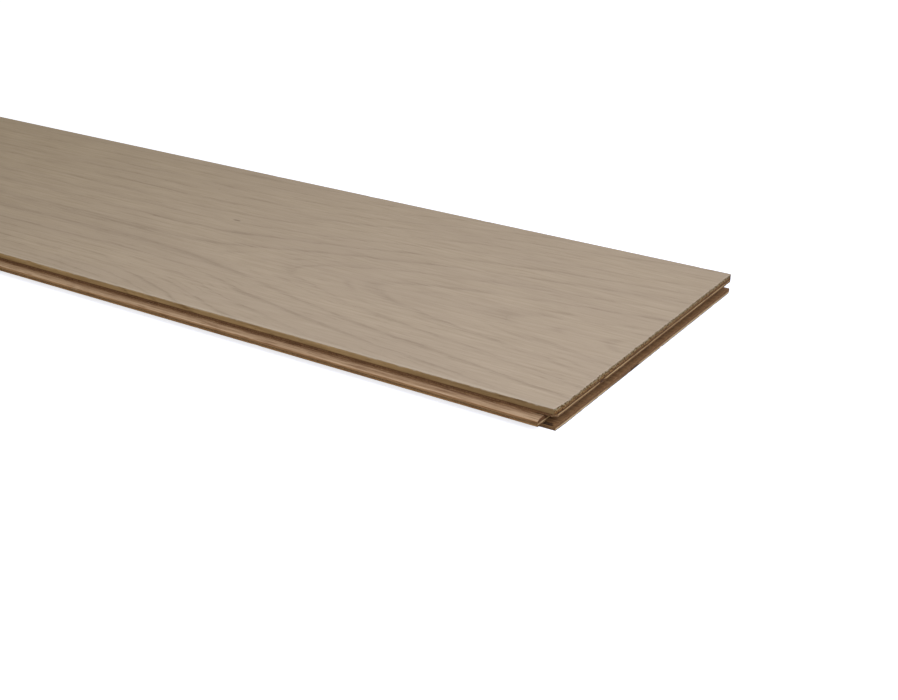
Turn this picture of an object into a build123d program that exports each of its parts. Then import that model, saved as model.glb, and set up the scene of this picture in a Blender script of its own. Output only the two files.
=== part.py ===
import os

from build123d import *

# Oak face, the size that the board covers on a floor
face_length = 2200.0
face_width = 260.0

# Layers, from the top down
oak_thickness = 4.0
core_thickness = 11.0
outer_ply = 0.5
cross_ply = 1.1
upper_lip_long_ply = 0.85
lower_lip_long_ply = 2.05

# Tongue, milled on the near side and the left end
tongue_length = 7.0
tongue_taper_length = 2.6
tongue_taper_drop = 1.0
tongue_lower_chamfer = 0.4
lower_shoulder_set_back = 1.0

# Groove, milled on the far side and the right end
groove_tip_gap = 1.0
joint_play = 0.1
lower_lip_set_back = 0.2

# Fine bevel around the oak face
micro_bevel = 0.5

# Sizes that follow from those above
board_thickness = core_thickness + oak_thickness
groove_ceiling = core_thickness - outer_ply - cross_ply - upper_lip_long_ply
groove_floor = outer_ply + cross_ply + lower_lip_long_ply
groove_depth = tongue_length + groove_tip_gap


def joint_section(face_size):
    """Outline from the tongue edge to the groove edge, as points (across the joint, up)."""
    tongue_tip = -(face_size + tongue_length) / 2
    tongue_shoulder = tongue_tip + tongue_length
    groove_edge = tongue_tip + tongue_length + face_size
    tongue_top = groove_ceiling - joint_play
    tongue_bottom = groove_floor + joint_play
    return [
        (tongue_shoulder + lower_shoulder_set_back, 0),
        (tongue_shoulder + lower_shoulder_set_back, tongue_bottom),
        (tongue_tip + tongue_lower_chamfer, tongue_bottom),
        (tongue_tip, tongue_bottom + tongue_lower_chamfer),
        (tongue_tip, tongue_top - tongue_taper_drop),
        (tongue_tip + tongue_taper_length, tongue_top),
        (tongue_shoulder, tongue_top),
        (tongue_shoulder, board_thickness - micro_bevel),
        (tongue_shoulder + micro_bevel, board_thickness),
        (groove_edge - micro_bevel, board_thickness),
        (groove_edge, board_thickness - micro_bevel),
        (groove_edge, groove_ceiling),
        (groove_edge - groove_depth, groove_ceiling),
        (groove_edge - groove_depth, groove_floor),
        (groove_edge - lower_lip_set_back, groove_floor),
        (groove_edge - lower_lip_set_back, 0),
    ]


# The pressed board, milled along both sides and then across both ends
with BuildPart() as milled_board:
    with BuildSketch(Plane.YZ):
        with BuildLine():
            Polyline(*joint_section(face_width), close=True)
        make_face()
    extrude(amount=face_length, both=True)
    with BuildSketch(Plane.XZ):
        with BuildLine():
            Polyline(*joint_section(face_length), close=True)
        make_face()
    extrude(amount=face_width, both=True, mode=Mode.INTERSECT)

# The layers of the board, each one the slice of it between two glue lines
layer_tops = {
    "oak_wear_layer": board_thickness,
    "core_ply_1": core_thickness,
    "core_ply_2": core_thickness - outer_ply,
    "core_ply_3": core_thickness - outer_ply - cross_ply,
    "core_ply_4": groove_ceiling,
    "core_ply_5": (core_thickness + cross_ply) / 2,
    "core_ply_6": (core_thickness - cross_ply) / 2,
    "core_ply_7": groove_floor,
    "core_ply_8": outer_ply + cross_ply,
    "backing_ply": outer_ply,
}
os.makedirs("parts", exist_ok=True)
glue_lines = list(layer_tops.values())[1:] + [0]
for (name, layer_top), glue_line in zip(layer_tops.items(), glue_lines):
    with BuildPart() as layer:
        with BuildSketch(Plane.XY.offset(glue_line)):
            Rectangle(2 * face_length, 2 * face_width)
        extrude(amount=layer_top - glue_line)
        add(milled_board.part, mode=Mode.INTERSECT)
    layer.part.label = name
    export_step(layer.part, f"parts/{name}.step")
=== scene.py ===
import math

import bpy
import numpy as np
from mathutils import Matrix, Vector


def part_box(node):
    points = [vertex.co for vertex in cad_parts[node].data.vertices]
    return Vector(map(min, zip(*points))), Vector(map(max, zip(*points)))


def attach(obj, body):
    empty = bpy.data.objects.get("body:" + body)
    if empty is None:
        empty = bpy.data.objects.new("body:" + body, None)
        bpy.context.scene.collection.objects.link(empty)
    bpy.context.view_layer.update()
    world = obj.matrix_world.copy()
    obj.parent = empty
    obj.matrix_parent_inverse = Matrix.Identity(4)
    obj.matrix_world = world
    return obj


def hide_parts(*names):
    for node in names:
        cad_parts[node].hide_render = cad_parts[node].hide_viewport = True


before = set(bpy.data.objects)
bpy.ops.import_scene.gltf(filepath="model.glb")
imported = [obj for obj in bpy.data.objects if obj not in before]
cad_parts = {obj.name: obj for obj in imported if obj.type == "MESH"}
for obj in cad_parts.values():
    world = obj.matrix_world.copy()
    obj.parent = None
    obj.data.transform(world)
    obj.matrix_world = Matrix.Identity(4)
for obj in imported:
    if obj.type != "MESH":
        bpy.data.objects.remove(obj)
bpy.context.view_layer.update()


# Core plies and backing ply.
# Sheets of peeled veneer, glued and pressed with the oak above them and milled in one pass. Plies 2, 5 and 8 are thin
# and lie across the board, the rest along it. Plies 4 to 6 form a tongue on two edges and a groove on the other two.
MM = 1000  # millimetres in a metre
face_low, face_high = (np.array(corner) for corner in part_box("oak_wear_layer"))
left_mm, near_mm, core_height = MM * face_low
right_mm = MM * face_high[0]
ply_nodes = [f"core_ply_{number}" for number in range(1, 9)] + ["backing_ply"]
ply_feet = [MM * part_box(node)[0][2] for node in ply_nodes]
cross_numbers = (2, 5, 8)


def feed(tree, sockets, terms):
    """Each term, a socket or a constant, given to its own input socket."""
    for socket, term in zip(sockets, terms):
        if isinstance(term, bpy.types.NodeSocket):
            tree.links.new(term, socket)
        else:
            socket.default_value = term


def figure(tree, operation, *terms):
    """Result of one Math node whose terms are sockets or numbers."""
    node = tree.nodes.new("ShaderNodeMath")
    node.operation = operation
    feed(tree, node.inputs, terms)
    return node.outputs[0]


def product(tree, first, *others):
    """Product of sockets and numbers."""
    for other in others:
        first = figure(tree, "MULTIPLY", first, other)
    return first


def ramp(tree, value, low, high, start=0.0, end=1.0):
    """Smooth rise from start to end while the value goes from low to high."""
    node = tree.nodes.new("ShaderNodeMapRange")
    node.interpolation_type = "SMOOTHSTEP"
    tree.links.new(value, node.inputs["Value"])
    for name, number in (("From Min", low), ("From Max", high), ("To Min", start), ("To Max", end)):
        node.inputs[name].default_value = number
    return node.outputs["Result"]


def band(tree, value, begin, full, still, gone):
    """1 while the value lies between full and still, with smooth shoulders that end at begin and gone."""
    return product(tree, ramp(tree, value, begin, full), ramp(tree, value, still, gone, 1.0, 0.0))


def parts(tree, vector):
    """The three parts of a vector socket."""
    node = tree.nodes.new("ShaderNodeSeparateXYZ")
    tree.links.new(vector, node.inputs[0])
    return tuple(node.outputs)


def mottle(tree, spot, rates, detail, roughness):
    """Even noise from 0 to 1 at a spot given by three distances in millimetres, each times its own rate.

    Its grains are about one unit of these products apart, so a small rate draws them out that way.
    """
    place = tree.nodes.new("ShaderNodeCombineXYZ")
    for socket, distance, rate in zip(place.inputs, spot, rates):
        tree.links.new(figure(tree, "MULTIPLY", distance, rate), socket)
    noise = tree.nodes.new("ShaderNodeTexNoise")
    noise.inputs["Scale"].default_value = 1.0
    noise.inputs["Detail"].default_value = detail
    noise.inputs["Roughness"].default_value = roughness
    tree.links.new(place.outputs[0], noise.inputs["Vector"])
    return noise.outputs["Fac"]


def stain(tree, share, under, over, blend="MIX"):
    """Colour over laid on colour under by a share from 0 to 1. Each is a socket or a colour."""
    node = tree.nodes.new("ShaderNodeMix")
    node.data_type = "RGBA"
    node.blend_type = blend
    feed(tree, (node.inputs[0], node.inputs[6], node.inputs[7]), (share, under, over))
    return node.outputs[2]


def tint(tree, share, under, red, green, blue):
    """Colour under, darkened by a share from 0 to 1 to the given parts of its red, green and blue."""
    return stain(tree, share, under, (red, green, blue, 1.0), "MULTIPLY")


def shade(red, green, blue):
    """Linear colour of a wood tone given in the usual 0 to 255 steps."""
    tone = np.array([red, green, blue]) / 255
    tone = np.where(tone <= 0.04045, tone / 12.92, ((tone + 0.055) / 1.055) ** 2.4)
    return (*tone.tolist(), 1.0)


veneer = bpy.data.node_groups.new("peeled_veneer", "ShaderNodeTree")
for name, direction, kind in (("Place", "INPUT", "NodeSocketVector"), ("Facing", "INPUT", "NodeSocketVector"),
                              ("Colour", "OUTPUT", "NodeSocketColor"), ("Roughness", "OUTPUT", "NodeSocketFloat"),
                              ("Height", "OUTPUT", "NodeSocketFloat")):
    veneer.interface.new_socket(name, in_out=direction, socket_type=kind)
given = veneer.nodes.new("NodeGroupInput")
made = veneer.nodes.new("NodeGroupOutput")
spot = parts(veneer, given.outputs["Place"])
facing = parts(veneer, given.outputs["Facing"])

# Sheet tones: one for each ply from the top down, with the grain seen from the side and seen end on.
# A face on a glue line takes the tone of its own sheet, because the height is read 0.05 mm inside it.
flat_tones = [shade(136, 102, 70), shade(208, 177, 133), shade(160, 124, 93),
              shade(203, 174, 145), shade(202, 172, 132), shade(205, 172, 132),
              shade(157, 121, 84), shade(232, 206, 168), shade(170, 142, 110)]
end_tones = [shade(92, 66, 38), shade(141, 105, 75), shade(118, 86, 54),
             shade(113, 77, 46), shade(156, 122, 84), shade(108, 76, 48),
             shade(134, 98, 64), shade(150, 116, 82), shade(70, 52, 34)]
inside = figure(veneer, "MULTIPLY_ADD", facing[2], -0.05, spot[2])


def ply_colours(tones):
    """Colour of the ply that the height falls in, from one tone for each ply from the top down."""
    sheets = veneer.nodes.new("ShaderNodeValToRGB")
    sheets.color_ramp.interpolation = "CONSTANT"
    for _ in tones[2:]:
        sheets.color_ramp.elements.new(0.5)
    for element, foot, tone in zip(sheets.color_ramp.elements, ply_feet[::-1], tones[::-1]):
        element.position = foot / core_height
        element.color = tone
    veneer.links.new(figure(veneer, "DIVIDE", inside, core_height), sheets.inputs["Fac"])
    return sheets.outputs["Color"]


streak = mottle(veneer, spot, (0.014, 0.7, 0.9), 5.0, 0.6)
vessel = mottle(veneer, spot, (0.06, 1.7, 1.7), 2.0, 0.5)
pore = mottle(veneer, spot, (0.2, 1.1, 1.5), 3.0, 0.65)
check = mottle(veneer, spot, (0.05, 1.6, 0.5), 1.0, 0.5)
flat_tone = tint(veneer, ramp(veneer, streak, 0.35, 0.65, 0.0, 0.9), ply_colours(flat_tones), 0.66, 0.58, 0.51)
flat_tone = tint(veneer, ramp(veneer, vessel, 0.52, 0.62, 0.0, 0.75), flat_tone, 0.50, 0.40, 0.34)
end_tone = tint(veneer, ramp(veneer, pore, 0.36, 0.64, 0.8, 0.0), ply_colours(end_tones), 0.48, 0.42, 0.37)
end_tone = tint(veneer, ramp(veneer, check, 0.58, 0.70, 0.0, 0.6), end_tone, 0.50, 0.42, 0.38)

# Tongue: its upward flat is browned by glue, and more so towards the oak above it, where painted shade darkens it; its
# nose is darker and browner.
stand_out = figure(veneer, "MAXIMUM", figure(veneer, "SUBTRACT", near_mm, spot[1]),
                   figure(veneer, "SUBTRACT", left_mm, spot[0]))
# Glue film and painted shade: an even brown on the tongue's flat, rising towards the oak wall as painted shade.
glue_film_and_painted_shade = product(veneer, ramp(veneer, facing[2], 0.95, 0.99), ramp(veneer, stand_out, -0.2, 0.0),
                  ramp(veneer, stand_out, 0.0, 2.8, 1.0, 0.42))
# The tongue's nose, and the chamfer under it, darker and browner.
nose_darkening = ramp(veneer, stand_out, 6.5, 6.9, 0.0, 0.9)
flat_tone = tint(veneer, glue_film_and_painted_shade, flat_tone, 0.42, 0.32, 0.22)
flat_tone = tint(veneer, nose_darkening, flat_tone, 0.80, 0.64, 0.48)
end_on = ramp(veneer, figure(veneer, "ABSOLUTE", facing[0]), 0.25, 0.85)
tone = stain(veneer, end_on, flat_tone, end_tone)

# Glue lines: dark seams under the oak and on both sides of each cross ply.
off_glue = figure(veneer, "ABSOLUTE", figure(veneer, "SUBTRACT", spot[2], core_height))
for number in cross_numbers:
    for seam in (ply_feet[number - 1], ply_feet[number - 2]):
        off_seam = figure(veneer, "ABSOLUTE", figure(veneer, "SUBTRACT", spot[2], seam))
        off_glue = figure(veneer, "MINIMUM", off_glue, off_seam)
tone = tint(veneer, ramp(veneer, off_glue, 0.04, 0.26, 0.7, 0.0), tone, 0.45, 0.38, 0.32)

# Marks: a torn patch in ply 7 at the lower lip's near corner, under the tongue, painted near black as shade, and a
# brown stretch of ply 8 on the right end.
# The place in a cross ply is turned a quarter with its grain, so there the second distance runs along the board.
# Painted shade: a near-black patch on ply 7 at the right corner, under the tongue, standing for the shade in a
# tear-out.
tear_out_painted_shade = product(veneer, band(veneer, spot[0], right_mm - 12, right_mm - 9, right_mm - 3.5, right_mm - 1.5),
               ramp(veneer, spot[1], near_mm + 2.0, near_mm + 3.6, 1.0, 0.0),
               ramp(veneer, pore, 0.40, 0.55, 1.0, 0.75), band(veneer, spot[2], 2.4, 2.8, 3.68, 3.72))
brown_stretch = product(veneer, band(veneer, spot[0], 13.0, 18.0, 56.0, 62.0),
                        ramp(veneer, spot[1], right_mm - 5, right_mm - 4),
                        ramp(veneer, spot[2], 1.6, 2.0, 0.8, 0.0))
# Painted shade in the tear-out under the tongue.
tone = tint(veneer, tear_out_painted_shade, tone, 0.05, 0.03, 0.02)
tone = tint(veneer, brown_stretch, tone, 0.42, 0.34, 0.26)
relief = product(veneer, pore, end_on, 0.25)
veneer.links.new(tone, made.inputs["Colour"])
veneer.links.new(ramp(veneer, streak, 0.2, 0.8, 0.9, 0.7), made.inputs["Roughness"])
veneer.links.new(figure(veneer, "MULTIPLY_ADD", vessel, -0.10, relief), made.inputs["Height"])


def raise_grain(tree, height, shader):
    """Fine relief of a finish, where a height of 1 stands for a millimetre."""
    bump = tree.nodes.new("ShaderNodeBump")
    bump.inputs["Distance"].default_value = 1 / MM
    tree.links.new(height, bump.inputs["Height"])
    tree.links.new(bump.outputs["Normal"], shader.inputs["Normal"])


def veneer_finish(name, grain_turn):
    """Bare peeled veneer whose grain runs along X, turned by grain_turn about the upright axis."""
    finish = bpy.data.materials.new(name)
    finish.use_nodes = True
    tree = finish.node_tree
    shader = tree.nodes["Principled BSDF"]
    wood = tree.nodes.new("ShaderNodeGroup")
    wood.node_tree = veneer
    where = tree.nodes.new("ShaderNodeTexCoord")
    place = tree.nodes.new("ShaderNodeMapping")
    place.inputs["Rotation"].default_value[2] = grain_turn
    place.inputs["Scale"].default_value = (MM, MM, MM)
    tree.links.new(where.outputs["Object"], place.inputs["Vector"])
    tree.links.new(place.outputs["Vector"], wood.inputs["Place"])
    surface = tree.nodes.new("ShaderNodeNewGeometry")
    turned = tree.nodes.new("ShaderNodeMapping")
    turned.vector_type = "VECTOR"
    turned.inputs["Rotation"].default_value[2] = grain_turn
    tree.links.new(surface.outputs["Normal"], turned.inputs["Vector"])
    tree.links.new(turned.outputs["Vector"], wood.inputs["Facing"])
    tree.links.new(wood.outputs["Colour"], shader.inputs["Base Color"])
    tree.links.new(wood.outputs["Roughness"], shader.inputs["Roughness"])
    shader.inputs["Specular IOR Level"].default_value = 0.25
    raise_grain(tree, wood.outputs["Height"], shader)
    return finish


long_ply = veneer_finish("long_ply", 0.0)
cross_ply = veneer_finish("cross_ply", math.pi / 2)

# Way round the board: LONG places on the near side, SHORT on the right end, LONG on the far side and SHORT on the left
# end, with one more on each corner. INSET is the distance from a corner to the place beside it, in metres.
LONG, SHORT, INSET = 1096, 206, 0.003
ROUND = 4 + 2 * LONG + 2 * SHORT
way = np.arange(ROUND)
near_side = way < LONG + 2
right_end = (way >= LONG + 1) & (way < LONG + SHORT + 3)
far_side = (way >= LONG + SHORT + 2) & (way < 2 * LONG + SHORT + 4)
left_end = (way >= 2 * LONG + SHORT + 3) | (way == 0)
tongued = near_side | left_end
far_off = 9.0
face_width = face_high[1] - face_low[1]
from_corner = np.full(ROUND, far_off)
from_corner[LONG + 1:LONG + SHORT + 2] = np.append(0, np.linspace(INSET, face_width - INSET, SHORT))


def milled_layer(name, tongue, groove, wear, broken):
    """Closed skin of one layer: its section carried round the board's four edges, with a flat sheet above and below.

    Point k of the section stands reach, height = tongue[k] from the edge of the oak face on the tongued edges, and
    groove[k] on the grooved ones, and is moved inwards by wear[k], one depth for each place on the way round.
    The right end is moved in by broken[k] as well.
    """
    tongue_reach, tongue_height = np.array(tongue).T[:, :, None]
    groove_reach, groove_height = np.array(groove).T[:, :, None]
    rows = len(tongue)
    left, near = face_low[0] - tongue_reach, face_low[1] - tongue_reach
    right, far = face_high[0] + groove_reach, face_high[1] + groove_reach
    side = np.linspace(left[:, 0] + INSET, right[:, 0] - INSET, LONG, axis=1)
    end = np.linspace(near[:, 0] + INSET, far[:, 0] - INSET, SHORT, axis=1)
    along, across = np.ones((rows, LONG)), np.ones((rows, SHORT))
    x = np.hstack([left, side, right, right * across, right, side[:, ::-1], left, left * across])
    y = np.hstack([near, near * along, near, end, far, far * along, far, end[:, ::-1]])
    z = np.where(tongued, tongue_height, groove_height)
    x = x - wear * (right_end * 1.0 - left_end) - broken * right_end
    y = y - wear * (far_side * 1.0 - near_side)
    points = np.stack([x, y, z], axis=2).reshape(-1, 3)
    index = np.arange(rows * ROUND).reshape(rows, ROUND)
    beside = np.roll(index, -1, axis=1)
    skin = np.stack([index[:-1], index[1:], beside[1:], beside[:-1]], axis=2).reshape(-1, 4).tolist()
    for row, turn in ((index[0], 1), (index[-1], -1)):
        front = row[1:LONG + 1]
        back = row[LONG + SHORT + 3:2 * LONG + SHORT + 3][::-1]
        skin += np.stack([front[:-1], front[1:], back[1:], back[:-1]], axis=1)[:, ::turn].tolist()
        skin.append(row[LONG:LONG + SHORT + 4][::turn].tolist())
        skin.append(np.append(row[2 * LONG + SHORT + 2:], row[:2])[::turn].tolist())
    mesh = bpy.data.meshes.new(name)
    mesh.from_pydata(points.tolist(), [], skin)
    mesh.polygons.foreach_set("use_smooth", np.ones(len(mesh.polygons), dtype=bool))
    crease = math.radians(28)
    mesh.set_sharp_from_angle(angle=crease)
    ends = np.empty(2 * len(mesh.edges), dtype=np.int32)
    mesh.edges.foreach_get("vertices", ends)
    ends = ends.reshape(-1, 2)
    hard = np.empty(len(mesh.edges), dtype=bool)
    mesh.edges.foreach_get("use_edge_sharp", hard)
    hard |= (ends < ROUND).all(axis=1) | (ends >= (rows - 1) * ROUND).all(axis=1)
    mesh.edges.foreach_set("use_edge_sharp", hard)
    piece = bpy.data.objects.new(name, mesh)
    bpy.context.collection.objects.link(piece)
    return piece


def torn_fibres(seed, rows, side_depth, end_depth, chips):
    """Depth of the cutter's tear-out round one layer, in metres.

    Noise, partly each row's own and partly shared by all rows, is smoothed along the edge, lifted a little and cut off
    below zero, and scaled by side_depth on the sides and end_depth on the ends. The deepest of the chips at each place
    is added. A chip is a dome-shaped bite of up to half a millimetre that runs over a few places and rows.
    """
    shared, lift, gain, chip_rows = 1.5, 0.35, 0.5, 1.6
    dice = np.random.default_rng(seed)
    noise = dice.standard_normal((rows, ROUND)) + shared * dice.standard_normal((1, ROUND))
    noise = (np.roll(noise, 1, axis=1) + 2 * noise + np.roll(noise, -1, axis=1)) / 4
    depth = np.where(right_end | left_end, end_depth, side_depth) * np.clip(lift + gain * noise, 0, None)
    place = dice.integers(0, ROUND, chips)[:, None, None]
    level = dice.uniform(0, rows - 1, chips)[:, None, None]
    length = dice.uniform(0.8, 3.5, chips)[:, None, None]
    bite = dice.uniform(0.1, 0.5, chips)[:, None, None] * 0.001
    apart = ((way - place) / length) ** 2 + ((np.arange(rows)[:, None] - level) / chip_rows) ** 2
    return depth + (bite * np.clip(1 - apart, 0, None) ** 0.5).max(axis=0)


def lost_sliver(start, end, depth):
    """Depth of a sliver missing from the right end between two distances from the near corner, in metres.

    It is full in the middle and falls off evenly towards both ends.
    """
    return depth * np.clip(2.2 - 4.4 * np.abs(from_corner - (start + end) / 2) / (end - start), 0, 1)


def knocked_corner(depth, length):
    """Depth of the knock on the near corner of the right end: full at the corner, and gone a length further on."""
    return depth * np.clip(1 - from_corner / length, 0, 1) ** 1.3


play, taper_length, taper_drop, under_chamfer = 0.0001, 0.0026, 0.0010, 0.0004
along_tear, across_tear, seam_recess = 0.00004, 0.00012, 0.00005
corner_bite, bite_places = 0.0014, 9
level_shares = np.array([0, 0.07, 0.35, 0.65, 0.93, 1])
for number, node in enumerate(ply_nodes, start=1):
    low, high = (np.array(corner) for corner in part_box(node))
    reach = face_low[0] - low[0]
    stand = high[0] - face_high[0]
    top, bottom = high[2], low[2]
    levels = top - (top - bottom) * level_shares
    groove = [(stand, level) for level in levels]
    tongue = [(reach, level) for level in levels]
    if number == 4:
        flat = top - play
        tip = flat - taper_drop
        tongue = [(0, top), (0, flat), (reach - taper_length, flat), (reach, tip), (reach, (tip + bottom) / 2),
                  (reach, bottom)]
    if number == 6:
        shoulder = face_low[0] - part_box("core_ply_7")[0][0]
        under = bottom + play
        tongue = [(reach, top), (reach, (top + bottom) / 2), (reach, under + under_chamfer),
                  (reach - under_chamfer, under), (shoulder, under), (shoulder, bottom)]
    crossing = number in cross_numbers
    side_tear, end_tear = (across_tear, along_tear) if crossing else (along_tear, across_tear)
    wear = torn_fibres(number, len(levels), side_tear, end_tear, chips=60)
    wear[[0, -1]] += seam_recess
    broken = knocked_corner(depth=0.0004, length=0.014)
    if number < 4:
        broken = broken + knocked_corner(depth=0.0026, length=0.003)
    if number == 3:
        wear[:, LONG + 2 - bite_places:LONG + 2] += corner_bite * np.clip(np.arange(bite_places) / 4, 0, 1)
    if number == 2:
        broken = broken + lost_sliver(start=0.0568, end=0.0643, depth=0.0012)
    if number == 8:
        broken = broken + lost_sliver(start=0.0998, end=0.1116, depth=0.0028)
    piece = milled_layer(f"ply_{number}" if number < 9 else "ply_backing", tongue, groove, wear, broken)
    piece.data.materials.append(cross_ply if crossing else long_ply)
    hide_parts(node)
    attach(piece, "root")


# Oak wear layer.
# A 4 mm sheet of flat-sawn oak with its grain along the board, glued on the core, with a fine bevel round its face.
# The face is brushed and lacquered grey-beige and matt; the milled sides and ends are bare, browner oak.
top, bottom, bevel = face_high[2], face_low[2], 0.0005
eased = [(-bevel, top), (-0.6 * bevel, top - 0.2 * bevel), (-0.2 * bevel, top - 0.6 * bevel), (0, top - bevel),
         (0, top - 0.0015), (0, top - 0.0028), (0, bottom + 0.0001), (0, bottom)]
wear = torn_fibres(40, len(eased), side_depth=0.00002, end_depth=0.00014, chips=40)
wear[0] += 0.00002
ragged_depth = 0.00035
ragged_rows = np.array([1, 1, 1, 0.9, 0.5, 0.1, 0, 0])[:, None]
knock_rows = np.array([1, 0.97, 0.94, 0.9, 0.8, 0.7, 0.6, 0.6])[:, None]
ragged = np.abs(np.random.default_rng(41).standard_normal(ROUND)) * right_end * ragged_depth
ragged = ragged * np.interp(from_corner, [0.08, 0.14], [1.0, 0.4]) * ragged_rows
knock = knocked_corner(depth=0.0018, length=0.015) * knock_rows
oak = milled_layer("oak_face", eased, eased, wear, ragged + knock)
oak_finish = bpy.data.materials.new("oak_face")
oak_finish.use_nodes = True
tree = oak_finish.node_tree
shader = tree.nodes["Principled BSDF"]
where = tree.nodes.new("ShaderNodeTexCoord")
x, y, z = parts(tree, where.outputs["Object"])
from_end = product(tree, figure(tree, "SUBTRACT", x, face_high[0]), MM)
from_side = product(tree, figure(tree, "SUBTRACT", y, face_low[1]), MM)
from_top = product(tree, figure(tree, "SUBTRACT", face_high[2], z), MM)
spot = (from_end, from_side, from_top)

# Growth rings: a pith line under the face, nearer to it towards the right end, where the rings open into arches.
# Left of the arches they crowd together on the near side. They wander a little, and every ring differs in strength.
sway = mottle(tree, spot, (0.006, 0.016, 0.016), 3.0, 0.5)
quiver = mottle(tree, spot, (0.03, 0.12, 0.12), 3.0, 0.55)
heart = ramp(tree, from_end, -440.0, -80.0, 90.0, 104.0)
off_heart = figure(tree, "SUBTRACT", from_side, heart)
for wander, width in ((sway, 10.0), (quiver, 6.0)):
    off_heart = figure(tree, "MULTIPLY_ADD", figure(tree, "SUBTRACT", wander, 0.5), width, off_heart)
crowd = figure(tree, "SMOOTH_MAX", figure(tree, "SUBTRACT", -25.0, off_heart), 0.0, 20.0)
crowd = product(tree, crowd, ramp(tree, from_end, -430.0, -260.0, 0.9, 0.0))
spread = figure(tree, "SUBTRACT", off_heart, crowd)
bow = figure(tree, "SQRT", figure(tree, "MULTIPLY_ADD", spread, spread, 900.0))
arching = figure(tree, "SMOOTH_MAX", figure(tree, "ADD", from_end, 338.0), 0.0, 110.0)
easing = figure(tree, "SMOOTH_MAX", figure(tree, "ADD", from_end, 190.0), 0.0, 60.0)
far_left = figure(tree, "MINIMUM", figure(tree, "ADD", from_end, 800.0), 0.0)
climb = product(tree, arching, 0.235)
climb = figure(tree, "MULTIPLY_ADD", easing, -0.095, climb)
climb = figure(tree, "MULTIPLY_ADD", far_left, 0.045, climb)
ring_width = 16.3
growth = figure(tree, "MULTIPLY_ADD", from_top, 1.2, figure(tree, "SUBTRACT", bow, climb))
growth = figure(tree, "MULTIPLY_ADD", growth, 1 / ring_width, 0.1)
ring = figure(tree, "FRACT", growth)
year = figure(tree, "FLOOR", growth)
chance = tree.nodes.new("ShaderNodeTexWhiteNoise")
chance.noise_dimensions = "1D"
tree.links.new(year, chance.inputs["W"])
strength = ramp(tree, chance.outputs["Value"], 0.0, 1.0, 0.5, 1.0)
fibre = mottle(tree, spot, (0.022, 0.42, 0.42), 5.0, 0.62)
fade = mottle(tree, (from_end, from_side, year), (0.012, 0.05, 1.0), 2.0, 0.5)
early = figure(tree, "ADD", ramp(tree, ring, 0.0, 0.28, 1.0, 0.0), ramp(tree, ring, 0.90, 1.0))
early = product(tree, early, strength, ramp(tree, fade, 0.34, 0.58, 0.15, 1.0))
minor = figure(tree, "PINGPONG", product(tree, growth, 3.0), 0.5)
minor_fade = mottle(tree, (from_end, from_side, year), (0.02, 0.09, 3.0), 2.0, 0.5)
minor = product(tree, ramp(tree, minor, 0.0, 0.25, 1.0, 0.0), ramp(tree, minor_fade, 0.45, 0.68, 0.0, 0.55))
early = product(tree, figure(tree, "MAXIMUM", early, minor), ramp(tree, fibre, 0.35, 0.6, 1.0, 0.6))

# Open vessels: short dark dashes along the grain, thickest in the early wood of each ring. One small dark pin knot,
# 377 mm from the right end and 153 mm from the near side.
dash = mottle(tree, spot, (0.09, 1.6, 1.6), 2.0, 0.6)
dash_limit = figure(tree, "MULTIPLY_ADD", early, -0.12, 0.63)
dashes = ramp(tree, figure(tree, "SUBTRACT", dash, dash_limit), 0.0, 0.08)
cloud = mottle(tree, spot, (0.006, 0.025, 0.0), 2.0, 0.5)
knot_along = product(tree, figure(tree, "ADD", from_end, 377.0), 0.25)
knot_across = product(tree, figure(tree, "SUBTRACT", from_side, 153.0), 0.8)
knot = figure(tree, "MULTIPLY_ADD", knot_along, knot_along, product(tree, knot_across, knot_across))

# Lacquered face: grey-beige, a little darker in the early wood and the vessels, and paler along the near edge, partly
# rubbed lacquer and partly a painted highlight where the bevel catches the light.
early_share = product(tree, early, ramp(tree, from_side, 140.0, 230.0, 0.42, 0.26))
lacquered = stain(tree, ramp(tree, fibre, 0.22, 0.78), shade(175, 157, 139), shade(190, 172, 154))
lacquered = stain(tree, ramp(tree, cloud, 0.3, 0.7, 0.0, 0.5), lacquered, shade(176, 158, 142))
lacquered = stain(tree, early_share, lacquered, shade(137, 119, 104))
lacquered = stain(tree, product(tree, dashes, 0.3), lacquered, shade(133, 115, 98))
lacquered = stain(tree, ramp(tree, knot, 0.2, 1.4, 0.5, 0.0), lacquered, shade(92, 78, 64))
# Painted highlight along the near edge, where the bevel catches the light, together with rubbed lacquer.
lacquered = stain(tree, ramp(tree, from_side, 0.3, 3.2, 0.32, 0.0), lacquered, shade(212, 198, 182))

# Bare oak on the milled edges: tan with darker vessels, and dotted brown end grain, darkest at the glue.
# Lacquer has run over the bevel and in short drips down the end grain.
patch = mottle(tree, spot, (0.03, 0.4, 0.4), 2.0, 0.5)
dots = mottle(tree, spot, (0.2, 0.62, 0.8), 2.0, 0.6)
bare = stain(tree, ramp(tree, fibre, 0.25, 0.75), shade(169, 139, 102), shade(196, 164, 122))
bare = stain(tree, product(tree, early, 0.5), bare, shade(140, 108, 72))
bare = stain(tree, product(tree, dashes, 0.6), bare, shade(104, 78, 52))
bare = tint(tree, ramp(tree, patch, 0.45, 0.65, 0.0, 0.5), bare, 0.74, 0.70, 0.64)
bare = tint(tree, ramp(tree, from_end, -160.0, -10.0, 0.0, 0.75), bare, 0.62, 0.60, 0.58)
end_grain = stain(tree, ramp(tree, from_top, 0.0, 4.0), shade(162, 140, 104), shade(138, 100, 60))
end_grain = tint(tree, ramp(tree, dots, 0.40, 0.56, 0.95, 0.0), end_grain, 0.26, 0.19, 0.13)
drip = figure(tree, "MULTIPLY_ADD", figure(tree, "SUBTRACT", 0.52, dots), 9.0, from_top)
end_grain = stain(tree, ramp(tree, drip, 0.1, 1.3, 0.75, 0.0), end_grain, shade(150, 148, 128))
end_grain = tint(tree, ramp(tree, from_side, 253.0, 258.0, 0.0, 0.7), end_grain, 0.45, 0.38, 0.30)
surface = tree.nodes.new("ShaderNodeNewGeometry")
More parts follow.
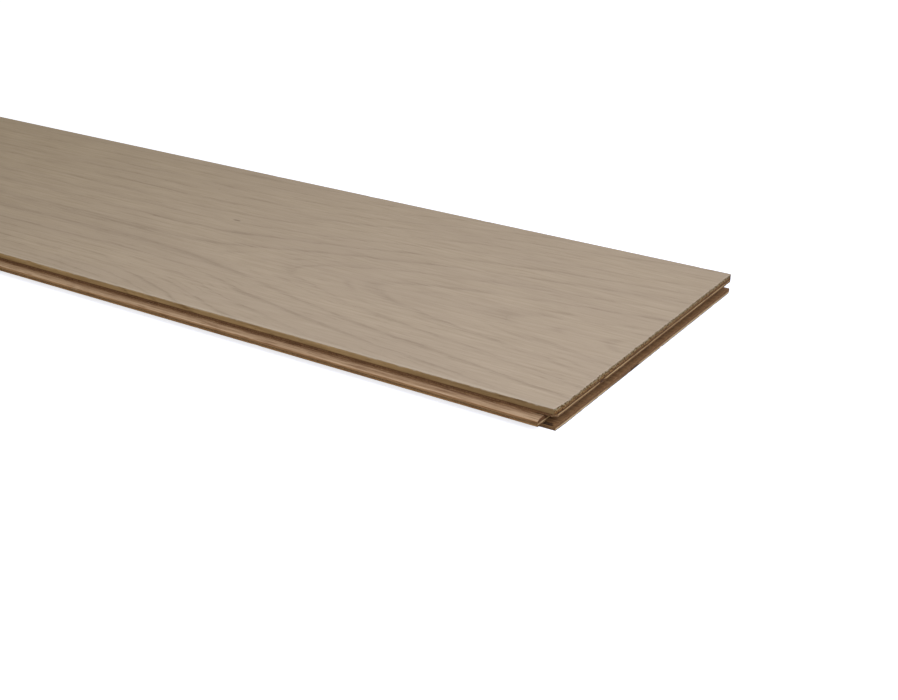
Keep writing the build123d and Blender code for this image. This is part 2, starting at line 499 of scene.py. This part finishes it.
facing = parts(tree, surface.outputs["Normal"])
bare = stain(tree, ramp(tree, figure(tree, "ABSOLUTE", facing[0]), 0.4, 0.8), bare, end_grain)
bare = tint(tree, ramp(tree, from_top, 3.4, 4.0, 0.0, 0.7), bare, 0.5, 0.42, 0.36)
facing_up = figure(tree, "MULTIPLY_ADD", figure(tree, "SUBTRACT", dots, 0.5), 1.2, facing[2])
lacquer = product(tree, ramp(tree, facing_up, 0.15, 0.55), ramp(tree, from_top, 0.9, 1.2, 1.0, 0.0))
tree.links.new(stain(tree, lacquer, bare, lacquered), shader.inputs["Base Color"])
tree.links.new(ramp(tree, fibre, 0.2, 0.8, 0.68, 0.55), shader.inputs["Roughness"])
shader.inputs["Specular IOR Level"].default_value = 0.06
raise_grain(tree, figure(tree, "MULTIPLY_ADD", dashes, -0.04, product(tree, fibre, 0.02)), shader)
oak.data.materials.append(oak_finish)
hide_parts("oak_wear_layer")
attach(oak, "root")


# Floor.
# A wide pale sheet that the board lies on; it shows as white to the camera and keeps the board's soft shadow.
half = 12.0
corners = [(-half, -half, 0.0), (half, -half, 0.0), (half, half, 0.0), (-half, half, 0.0)]
sheet = bpy.data.meshes.new("floor")
sheet.from_pydata(corners, [], [[0, 1, 2, 3]])
floor = bpy.data.objects.new("floor", sheet)
bpy.context.collection.objects.link(floor)
pale = bpy.data.materials.new("pale_floor")
pale.use_nodes = True
tree = pale.node_tree
tree.nodes.remove(tree.nodes["Principled BSDF"])
matt = tree.nodes.new("ShaderNodeBsdfDiffuse")
matt.inputs["Color"].default_value = (0.42, 0.41, 0.40, 1)
paler = tree.nodes.new("ShaderNodeBsdfDiffuse")
paler.inputs["Color"].default_value = (0.66, 0.70, 0.88, 1)
glow = tree.nodes.new("ShaderNodeEmission")
glow.inputs["Color"].default_value = (0.955, 0.962, 1.0, 1)
glow.inputs["Strength"].default_value = 0.795
both = tree.nodes.new("ShaderNodeAddShader")
tree.links.new(paler.outputs[0], both.inputs[0])
tree.links.new(glow.outputs[0], both.inputs[1])


def seen_white(tree, lit, shown):
    """Mixed shader that is shown to the camera and in reflections and glass, and lit for all other light."""
    rays = tree.nodes.new("ShaderNodeLightPath").outputs
    seen = figure(tree, "MAXIMUM", rays["Is Camera Ray"], rays["Is Glossy Ray"])
    seen = figure(tree, "MAXIMUM", seen, rays["Is Transmission Ray"])
    pick = tree.nodes.new("ShaderNodeMixShader")
    for source, socket in zip((seen, lit.outputs[0], shown.outputs[0]), pick.inputs):
        tree.links.new(source, socket)
    return pick.outputs[0]


tree.links.new(seen_white(tree, matt, both), tree.nodes["Material Output"].inputs["Surface"])
sheet.materials.append(pale)


# Studio light.
# Cool soft boxes above the right end, beyond it and above the left end, and an even, warmer room light.
room = bpy.data.worlds.new("room_light")
room.use_nodes = True
tree = room.node_tree
soft = tree.nodes["Background"]
soft.inputs["Color"].default_value = (1.0, 0.935, 0.63, 1)
soft.inputs["Strength"].default_value = 0.378
white = tree.nodes.new("ShaderNodeBackground")
white.inputs["Color"].default_value = (1.0, 1.0, 1.0, 1)
white.inputs["Strength"].default_value = 1.0
tree.links.new(seen_white(tree, soft, white), tree.nodes["World Output"].inputs["Surface"])
bpy.context.scene.world = room
soft_boxes = (("soft_box_above", 2.19, 1.0, (1.1, -0.2, 0.5), (0.0, 0.0, 0.0)),
              ("soft_box_beyond", 12.0, 1.0, (2.15, -0.4, 0.95), (54.2, 0.0, 72.3)),
              ("soft_box_left", 2.2, 1.2, (-0.85, -0.1, 0.4), (0.0, 0.0, 0.0)))
for name, watts, size, place, turn in soft_boxes:
    box_lamp = bpy.data.lights.new(name, "AREA")
    box_lamp.shape = "SQUARE"
    box_lamp.size = size
    box_lamp.color = (0.782, 0.841, 1.0)
    box_lamp.energy = watts
    lamp = bpy.data.objects.new(name, box_lamp)
    lamp.location = place
    lamp.rotation_euler = [math.radians(angle) for angle in turn]
    lamp.visible_camera = False
    bpy.context.collection.objects.link(lamp)


# Camera.
# It stands in front of the near right corner and to the right of it, and looks down and to the left along the board.
picture_width, focal_pixels = 898.0, 1467.0
look_down, look_left = math.radians(24.5893), math.radians(33.0180)
eye = bpy.data.cameras.new("camera")
eye.sensor_width = 36.0
eye.lens = eye.sensor_width * focal_pixels / picture_width
eye.clip_end = 100.0
camera = bpy.data.objects.new("camera", eye)
camera.location = (face_high[0] + 0.36910, face_low[1] - 0.68434, 0.40842)
camera.rotation_euler = (math.pi / 2 - look_down, 0.0, look_left)
bpy.context.collection.objects.link(camera)
bpy.context.scene.camera = camera
bpy.context.scene.view_settings.view_transform = "Standard"
